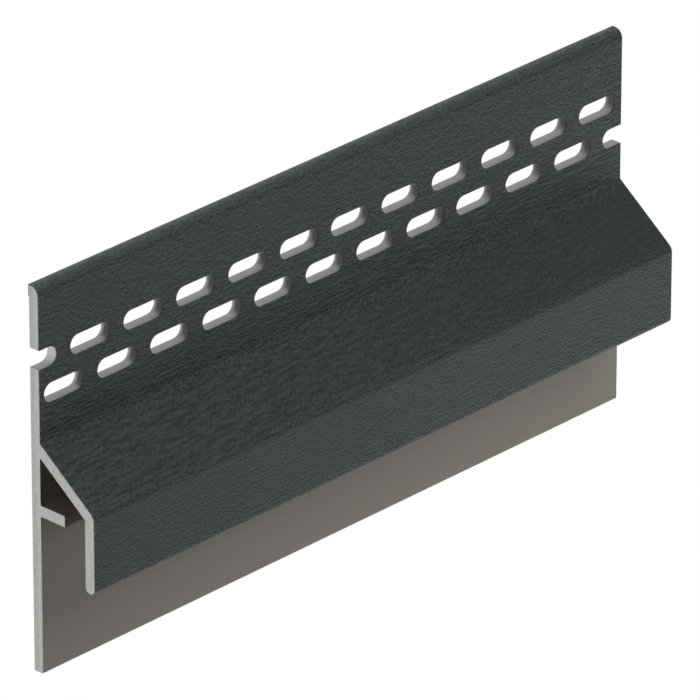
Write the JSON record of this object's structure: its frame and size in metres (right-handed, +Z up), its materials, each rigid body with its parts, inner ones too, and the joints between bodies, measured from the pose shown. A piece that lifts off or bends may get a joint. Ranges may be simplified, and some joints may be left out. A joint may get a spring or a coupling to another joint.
{
  "type": "eaves ventilation profile",
  "caption": "Wall-fixed plastic eaves trim: a slotted back plate lets air through, and a sloped apron sheds rain over a pocket for a board's edge.",
  "frame": {"origin": "middle of the plate's back face, at mid-length and mid-height", "axes": "+X along the profile, +Y into the wall, square to the back face, +Z up; the slope and the apron stand out to -Y"},
  "size_m": [0.2, 0.0205, 0.1],
  "materials": {
    "pvc": "matte",
    "foil": "satin"
  },
  "bodies": {
    "root": {"pvc_profile": "pvc", "woodgrain_foil": "foil"}
  },
  "joints": []
}
